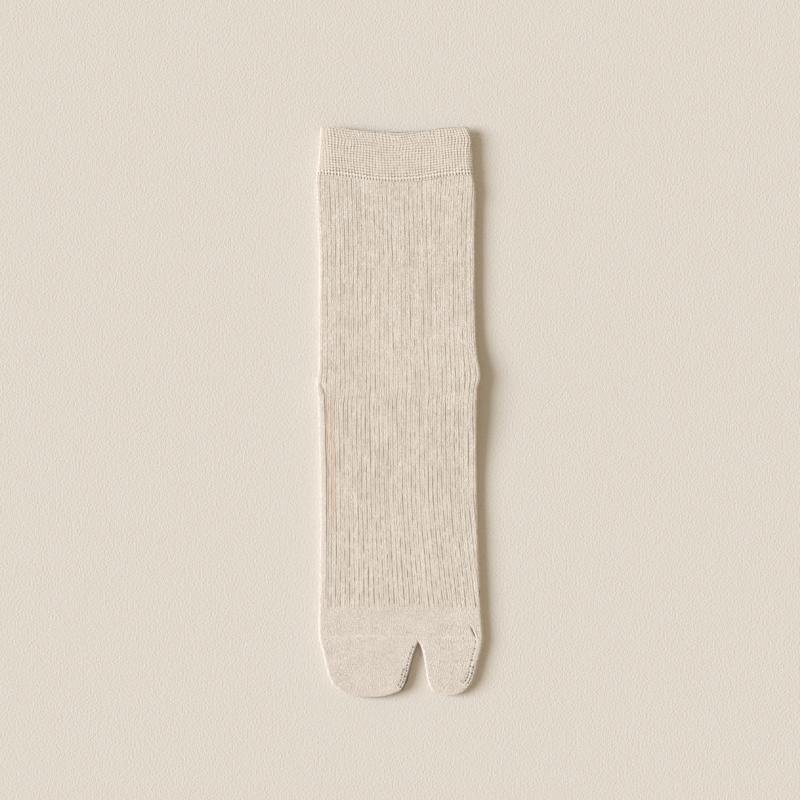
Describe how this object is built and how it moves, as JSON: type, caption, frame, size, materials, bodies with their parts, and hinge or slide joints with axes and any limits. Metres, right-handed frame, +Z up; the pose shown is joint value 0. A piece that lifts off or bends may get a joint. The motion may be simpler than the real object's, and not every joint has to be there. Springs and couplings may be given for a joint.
{
  "type": "pair of split-toe socks",
  "caption": "Ribbed knitted socks with a toe divided between the big toe and the other four, lying flat, one on the other.",
  "frame": {"origin": "middle of the underside, on the surface that the socks lie on", "axes": "+Y from the toes to the cuffs, +X towards the big toes, +Z up from the surface"},
  "size_m": [0.0976, 0.3306, 0.009],
  "materials": {
    "cuff_knit": "matt double-layer cotton knit",
    "ribbed_knit": "matt ribbed cotton knit",
    "plain_knit": "matt plain cotton knit"
  },
  "bodies": {
    "root": {"upper_cuff": "cuff_knit", "upper_tube": "ribbed_knit", "upper_heel": "plain_knit", "upper_toe": "plain_knit", "lower_cuff": "cuff_knit", "lower_tube": "ribbed_knit", "lower_heel": "plain_knit", "lower_toe": "plain_knit"}
  },
  "joints": []
}
